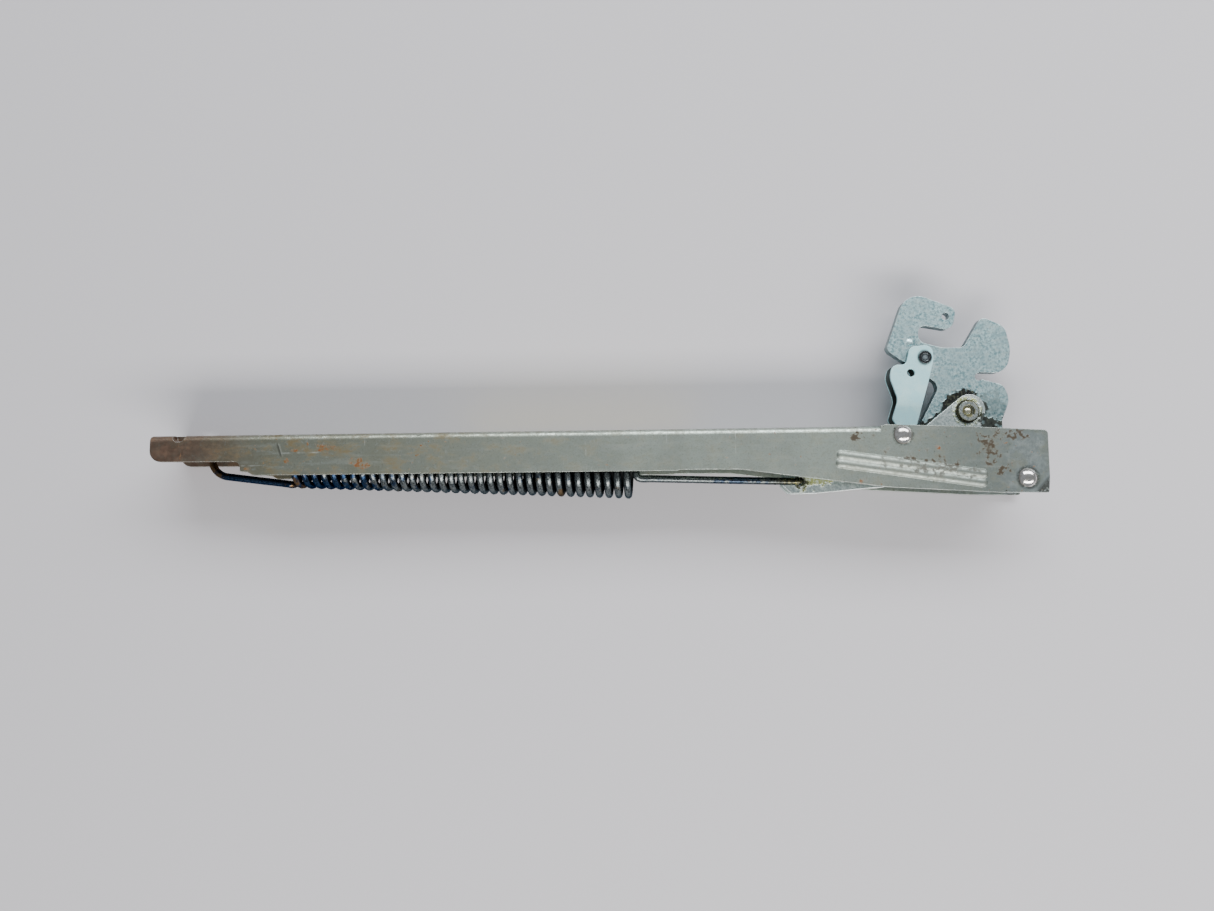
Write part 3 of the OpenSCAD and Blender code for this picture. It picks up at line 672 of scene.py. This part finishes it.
def sticker():
    """Blank yellow paper sticker, faded and soiled along its edges."""
    f = Finish("label", metallic=0.0)
    fibre = f.noise(0.5, 5, 0.7, stretch=(0.4, 1, 1))
    soil = f.noise(5, 4, 0.6)
    colour = f.blend(f.span(fibre, 0.4, 0.6), (0.66, 0.54, 0.07), (0.78, 0.66, 0.13))
    colour = f.blend(f.span(soil, 0.50, 0.68, 0.0, 0.55), colour, (0.36, 0.29, 0.10))
    f.bump(fibre, 0.01)
    return f.finish(colour, 0.62)


FINISHES = {
    "channel": channel_steel(), "arm": arm_zinc(), "catch": catch_zinc(), "link": link_zinc(),
    "zinc": plain_zinc(), "polished": polished_steel(), "rivet": rivet_zinc(), "black": black_steel(),
    "greased": greased_steel(), "spring": blued_steel(), "label": sticker(),
}
NODE_FINISH = {
    "channel": "channel", "main_pivot_pin": "polished", "guide_pin": "polished",
    "pivot_sleeve_near": "zinc", "pivot_sleeve_far": "zinc", "guide_roller": "zinc",
    "blank_label": "label", "hook_arm": "arm", "pivot_bush": "zinc",
    "flip_catch": "catch", "catch_rivet": "black", "link_cheek_near": "link",
    "link_cheek_far": "link", "link_rivet": "rivet", "link_washer_near": "greased",
    "link_washer_far": "greased", "link_spacer": "zinc", "tension_spring": "spring",
}


# ------------------------------------------------------------------ CAD pieces

def dress_cad_pieces():
    for name, piece in frame["nodes"].items():
        piece.data.materials.clear()
        piece.data.materials.append(FINISHES[NODE_FINISH[name]])


# ------------------------------------------------------------------ spring

def coil_point(t):
    """Point on the coil's centre line, for t from 0 at the left to 1 at the right."""
    angle = COIL_START + t * COIL_TURNS * math.tau
    return COIL_LEFT.lerp(COIL_RIGHT, t) + Vector((0, math.cos(angle), math.sin(angle))) * COIL_R


def coil_heading(angle):
    return Vector((0, -math.sin(angle), math.cos(angle)))


def straight(p, q, count):
    return [p.lerp(q, i / count) for i in range(count)]


def curve_between(p, heading_p, q, heading_q, reach, count):
    """Inner points of a cubic curve between two points with given headings."""
    a, b = p + heading_p * reach, q - heading_q * reach
    points = []
    for i in range(1, count):
        t = i / count
        s = 1 - t
        points.append(p * s ** 3 + a * 3 * s * s * t + b * 3 * s * t * t + q * t ** 3)
    return points


def left_arm_path():
    """Down from the hole in the channel's back, round the bend and on to the coil."""
    def bend(angle):
        return Vector((ARM_TOP.x + ARM_BEND_R * (1 - math.cos(angle)),
                       ARM_LOW_Y + ARM_BEND_R * (1 - math.sin(angle)), ARM_TOP.z))
    bend_steps = 14
    turned = math.pi / 2 - ARM_SLOPE
    heading = Vector((math.cos(ARM_SLOPE), -math.sin(ARM_SLOPE), 0))
    bend_end = bend(turned)
    arm_end = bend_end + heading * (COIL_LEFT.x - 3 * MM - bend_end.x) / heading.x
    return (
        straight(ARM_TOP, bend(0), 6)
        + [bend(turned * i / bend_steps) for i in range(bend_steps + 1)]
        + straight(bend_end, arm_end, 12)[1:] + [arm_end]
        + curve_between(arm_end, heading, coil_point(0), coil_heading(COIL_START), 2 * MM, 12)
    )


def right_arm_path():
    """From the coil along the link's near cheek, then across through its hole."""
    coil_end = COIL_START + COIL_TURNS * math.tau
    run_start = from_pivot(-120, 0.5, 5.4)
    halfway = from_pivot(-98, 0, HOOK_Z / MM)
    bend_start = HOOK_HOLE + Vector((-HOOK_BEND_R, 0, HOOK_Z))
    points = curve_between(coil_point(1), coil_heading(coil_end), run_start, ALONG, 3 * MM, 14)
    points += straight(run_start, halfway, 12) + straight(halfway, bend_start, 14)
    bend_steps = 10
    for i in range(bend_steps + 1):
        a = math.radians(90 * i / bend_steps)
        points.append(bend_start + Vector((HOOK_BEND_R * math.sin(a), 0, -HOOK_BEND_R * (1 - math.cos(a)))))
    tip = HOOK_HOLE + Vector((0, 0, HOOK_TIP_Z))
    return points + straight(points[-1], tip, 8)[1:] + [tip]


def spring_path():
    steps_in_turn = 28
    steps = round(COIL_TURNS * steps_in_turn)
    coil = [coil_point(i / steps) for i in range(steps + 1)]
    return left_arm_path() + coil + right_arm_path()


def tube(name, path, radius, sides=16):
    """Smooth round bar along a path, its cut ends slightly chamfered."""
    mesh = bmesh.new()
    across = Vector((0, 0, 1)) if abs((path[1] - path[0]).normalized().z) < 0.9 else Vector((1, 0, 0))
    heads = [(path[min(i + 1, len(path) - 1)] - path[max(i - 1, 0)]).normalized() for i in range(len(path))]
    chamfer = radius * 0.2
    inset = 0.3
    stations = [(path[0], heads[0], radius - chamfer)]
    stations += [(path[0].lerp(path[1], inset), heads[0], radius)]
    stations += [(point, head, radius) for point, head in zip(path[1:-1], heads[1:-1])]
    stations += [(path[-1].lerp(path[-2], inset), heads[-1], radius)]
    stations += [(path[-1], heads[-1], radius - chamfer)]
    rings = []
    for point, ahead, r in stations:
        across = (across - ahead * across.dot(ahead)).normalized()
        side = ahead.cross(across)
        rings.append([
            mesh.verts.new(point + (across * math.cos(a) + side * math.sin(a)) * r)
            for a in (math.tau * j / sides for j in range(sides))
        ])
    for low, high in zip(rings, rings[1:]):
        for j in range(sides):
            k = (j + 1) % sides
            mesh.faces.new((low[j], low[k], high[k], high[j]))
    caps = [mesh.faces.new(list(reversed(rings[0]))), mesh.faces.new(rings[-1])]
    bmesh.ops.recalc_face_normals(mesh, faces=mesh.faces)
    for face in mesh.faces:
        face.smooth = True
    for face in caps:
        face.smooth = False
    return link_mesh(name, mesh)


def link_mesh(name, mesh):
    data = bpy.data.meshes.new(name)
    mesh.to_mesh(data)
    mesh.free()
    piece = bpy.data.objects.new(name, data)
    bpy.context.collection.objects.link(piece)
    return piece


def add_spring():
    spring = tube("spring_wire", spring_path(), WIRE_R)
    spring.data.materials.append(FINISHES["spring"])
    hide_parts("tension_spring")
    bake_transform(spring)


add_camera()
add_studio()
add_floor()
dress_cad_pieces()
add_spring()
